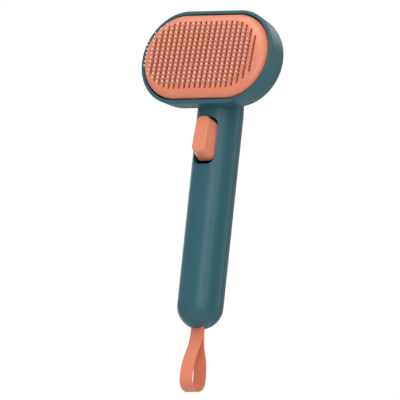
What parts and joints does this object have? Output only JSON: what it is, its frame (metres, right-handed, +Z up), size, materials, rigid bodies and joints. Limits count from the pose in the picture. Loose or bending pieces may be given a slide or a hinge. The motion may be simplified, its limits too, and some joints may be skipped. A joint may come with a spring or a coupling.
{
  "type": "slicker brush",
  "caption": "Self-cleaning slicker brush for pets: oval head of steel wires, slotted ejector plate worked by a finger trigger, round handle and hanging strap.",
  "frame": {"origin": "the grip's centre, on the handle's axis", "axes": "+Z up the handle to the head, -Y to the wires' side, X across the head"},
  "size_m": [0.0996, 0.0489, 0.237],
  "materials": {
    "teal_shell": "matte soft-touch",
    "coral_plate": "satin",
    "coral_trigger": "satin",
    "coral_strap": "matte elastomer",
    "wire_steel": "drawn wire",
    "tip_resin": "moulded bead",
    "dark_plastic": "moulded",
    "pad_rubber": "matte",
    "acetal": "moulded",
    "pin_steel": "ground",
    "spring_steel": "drawn wire",
    "screw_steel": "zinc plated",
    "plug_rubber": "matte"
  },
  "bodies": {
    "housing": {"front_shell": "teal_shell", "back_cover": "teal_shell", "bristle_board": "dark_plastic", "bristle_pad": "pad_rubber", "bristle_wires": "wire_steel", "contact_wires": "wire_steel", "wire_tips": "tip_resin", "guide_bushes": "acetal", "plate_springs": "spring_steel", "trigger_pin": "pin_steel", "pivot_bracket": "dark_plastic", "bracket_screws": "screw_steel", "trigger_spring": "spring_steel", "case_screws": "screw_steel", "handle_screws": "screw_steel", "screw_plugs": "plug_rubber", "strap_pin": "pin_steel"},
    "ejector": {"ejector_plate": "coral_plate", "guide_posts": "pin_steel", "post_clips": "pin_steel", "crosshead": "acetal", "drive_pin": "pin_steel"},
    "trigger": {"trigger_cap": "coral_trigger", "rocker": "dark_plastic", "cap_screws": "screw_steel"},
    "strap": {"hang_loop": "coral_strap"}
  },
  "joints": [
    {"name": "plate_slide", "type": "slide", "parent": "housing", "child": "ejector", "axis": [0, -0.9919, 0.1271], "range_m": [0, 0.007], "stiffness_N_per_m": 300, "springref_m": -0.006, "deforming": ["plate_springs"]},
    {"name": "trigger_hinge", "type": "hinge", "parent": "housing", "child": "trigger", "pos_m": [0, -0.005, 0.059], "axis": [1, 0, 0], "range_deg": [0, 13.4], "stiffness_Nm_per_rad": 0.08, "springref_deg": -11.46, "deforming": ["trigger_spring"]},
    {"name": "strap_hinge", "type": "hinge", "parent": "housing", "child": "strap", "pos_m": [0, 0, -0.0658], "axis": [1, 0, 0], "range_deg": [-15, 15]}
  ],
  "couplings": [
    {"joint": "trigger_hinge", "follows": "plate_slide", "rad_per_m": 33.391}
  ]
}
